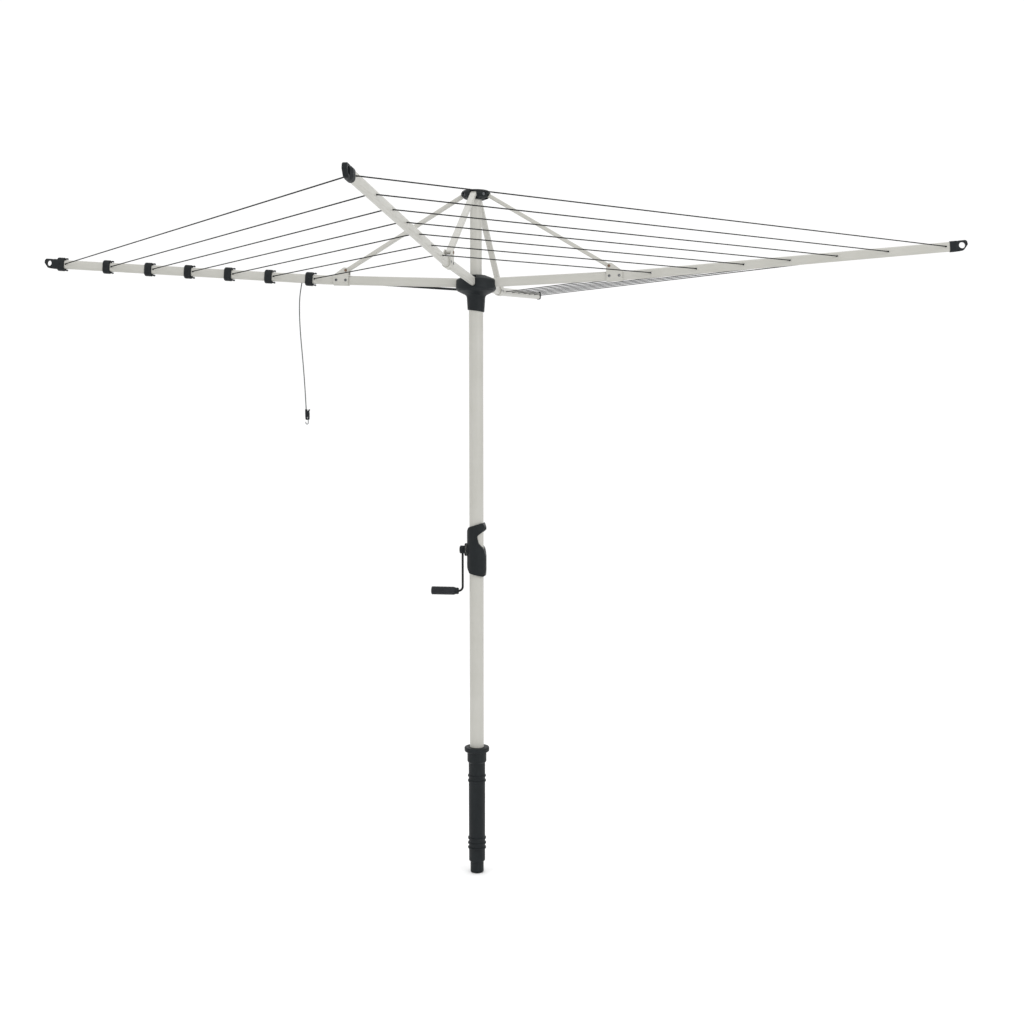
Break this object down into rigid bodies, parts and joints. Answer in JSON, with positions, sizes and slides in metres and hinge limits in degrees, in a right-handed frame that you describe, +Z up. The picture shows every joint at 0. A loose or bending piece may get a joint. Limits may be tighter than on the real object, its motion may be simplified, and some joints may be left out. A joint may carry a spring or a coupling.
{
  "type": "rotary clothesline",
  "caption": "Free-standing rotary clothesline on a mast in a ground socket, with folding arms braced to a crown, square rings of line and a crank winder that raises the crown",
  "frame": {"origin": "on the mast's axis at ground level, flush with the top of the ground socket's flange", "axes": "+Z up the mast; the arms lie along +X, +Y, -X and -Y; the crank comes out along -X; the front is -Y"},
  "size_m": [3.2528, 3.2914, 2.4166],
  "materials": {
    "grey_tube": "warm light grey powder coat",
    "grey_casting": "light grey coated casting, slightly matte",
    "black_plastic": "near-black moulded plastic, fine grain",
    "grip_plastic": "near-black soft plastic",
    "natural_plastic": "off-white bearing plastic",
    "black_steel": "black coated steel rod",
    "yellow_zinc": "yellow zinc plated steel",
    "zinc_steel": "zinc plated steel",
    "line_plastic": "dark grey coated line",
    "grey_cord": "mid-grey braided cord"
  },
  "bodies": {
    "socket": {"ground_socket": "black_plastic", "thrust_pad": "natural_plastic"},
    "mast": {"mast_tube": "grey_tube", "mast_foot": "black_plastic", "arm_hub": "black_plastic", "pin_plugs": "black_plastic", "hub_screws": "zinc_steel", "arm_pivot_pins": "zinc_steel", "top_bush": "natural_plastic", "housing_front": "black_plastic", "housing_rear": "black_plastic", "housing_screws": "zinc_steel", "crank_bushes": "natural_plastic", "brake_washer": "natural_plastic"},
    "lift": {"inner_tube": "grey_tube", "carrier_plug": "black_plastic", "lift_rack": "zinc_steel", "crown": "black_plastic", "crown_cap": "black_plastic", "crown_pins": "zinc_steel", "crown_screws": "zinc_steel"},
    "crank": {"crank_shaft": "zinc_steel", "drive_pinion": "zinc_steel", "crank_boss": "black_plastic", "crank_rod": "black_steel"},
    "grip": {"crank_grip": "grip_plastic", "grip_ferrule": "black_plastic", "grip_pin": "zinc_steel"},
    "right_arm": {"arm_right_tube": "grey_tube", "arm_right_cap": "black_plastic", "arm_right_bracket": "grey_casting", "arm_right_rivets": "zinc_steel", "arm_right_bracket_pin": "yellow_zinc", "lines_right": "line_plastic"},
    "right_strut": {"strut_right": "grey_tube"},
    "back_arm": {"arm_back_tube": "grey_tube", "arm_back_cap": "black_plastic", "arm_back_bracket": "grey_casting", "arm_back_rivets": "zinc_steel", "arm_back_bracket_pin": "yellow_zinc", "lines_back": "line_plastic"},
    "back_strut": {"strut_back": "grey_tube"},
    "left_arm": {"arm_left_tube": "grey_tube", "arm_left_cap": "black_plastic", "arm_left_bracket": "grey_casting", "arm_left_rivets": "zinc_steel", "arm_left_bracket_pin": "yellow_zinc", "lines_left": "line_plastic", "line_clips": "black_plastic"},
    "left_strut": {"strut_left": "grey_tube"},
    "front_arm": {"arm_front_tube": "grey_tube", "arm_front_cap": "black_plastic", "arm_front_bracket": "grey_casting", "arm_front_rivets": "zinc_steel", "arm_front_bracket_pin": "yellow_zinc", "lines_front": "line_plastic"},
    "front_strut": {"strut_front": "grey_tube"},
    "tie": {"tie_cord": "grey_cord", "cord_cleat": "black_plastic", "cord_hook": "zinc_steel"}
  },
  "joints": [
    {"name": "mast_turn", "type": "hinge", "parent": "socket", "child": "mast", "pos_m": [0, 0, 0], "axis": [0, 0, 1], "continuous": true},
    {"name": "crown_lift", "type": "slide", "parent": "mast", "child": "lift", "axis": [0, 0, 1], "range_m": [0, 0.60343]},
    {"name": "crank_turn", "type": "hinge", "parent": "mast", "child": "crank", "pos_m": [0, 0, 0.707], "axis": [1, 0, 0], "range_deg": [0, 2880]},
    {"name": "grip_spin", "type": "hinge", "parent": "crank", "child": "grip", "pos_m": [-0.114, 0, 0.559], "axis": [1, 0, 0], "continuous": true},
    {"name": "right_arm_fold", "type": "hinge", "parent": "mast", "child": "right_arm", "pos_m": [0.058, 0, 1.643], "axis": [0, -1, 0], "range_deg": [0, 83.5], "deforming": ["lines_right"]},
    {"name": "right_strut_fold", "type": "hinge", "parent": "right_arm", "child": "right_strut", "pos_m": [0.465, 0, 1.69209], "axis": [0, -1, 0], "range_deg": [-140.9, 0]},
    {"name": "back_arm_fold", "type": "hinge", "parent": "mast", "child": "back_arm", "pos_m": [0, 0.058, 1.643], "axis": [1, 0, 0], "range_deg": [0, 83.5], "deforming": ["lines_back"]},
    {"name": "back_strut_fold", "type": "hinge", "parent": "back_arm", "child": "back_strut", "pos_m": [0, 0.465, 1.69209], "axis": [1, 0, 0], "range_deg": [-140.9, 0]},
    {"name": "left_arm_fold", "type": "hinge", "parent": "mast", "child": "left_arm", "pos_m": [-0.058, 0, 1.643], "axis": [0, 1, 0], "range_deg": [0, 83.5], "deforming": ["lines_left"]},
    {"name": "left_strut_fold", "type": "hinge", "parent": "left_arm", "child": "left_strut", "pos_m": [-0.465, 0, 1.69209], "axis": [0, 1, 0], "range_deg": [-140.9, 0]},
    {"name": "front_arm_fold", "type": "hinge", "parent": "mast", "child": "front_arm", "pos_m": [0, -0.058, 1.643], "axis": [-1, 0, 0], "range_deg": [0, 83.5], "deforming": ["lines_front"]},
    {"name": "front_strut_fold", "type": "hinge", "parent": "front_arm", "child": "front_strut", "pos_m": [0, -0.465, 1.69209], "axis": [-1, 0, 0], "range_deg": [-140.9, 0]},
    {"name": "tie_swing", "type": "hinge", "parent": "left_arm", "child": "tie", "pos_m": [-0.63, 0, 1.65115], "axis": [0, 1, 0], "range_deg": [-83.5, 0], "deforming": ["tie_cord"]}
  ],
  "couplings": [
    {"joint": "crank_turn", "follows": "crown_lift", "rad_per_m": 83.333},
    {"joint": "right_arm_fold", "follows": "crown_lift", "rad_per_m": 2.4151},
    {"joint": "right_strut_fold", "follows": "crown_lift", "rad_per_m": -4.0715},
    {"joint": "back_arm_fold", "follows": "crown_lift", "rad_per_m": 2.4151},
    {"joint": "back_strut_fold", "follows": "crown_lift", "rad_per_m": -4.0715},
    {"joint": "left_arm_fold", "follows": "crown_lift", "rad_per_m": 2.4151},
    {"joint": "left_strut_fold", "follows": "crown_lift", "rad_per_m": -4.0715},
    {"joint": "front_arm_fold", "follows": "crown_lift", "rad_per_m": 2.4151},
    {"joint": "front_strut_fold", "follows": "crown_lift", "rad_per_m": -4.0715},
    {"joint": "tie_swing", "follows": "crown_lift", "rad_per_m": -2.4151}
  ]
}
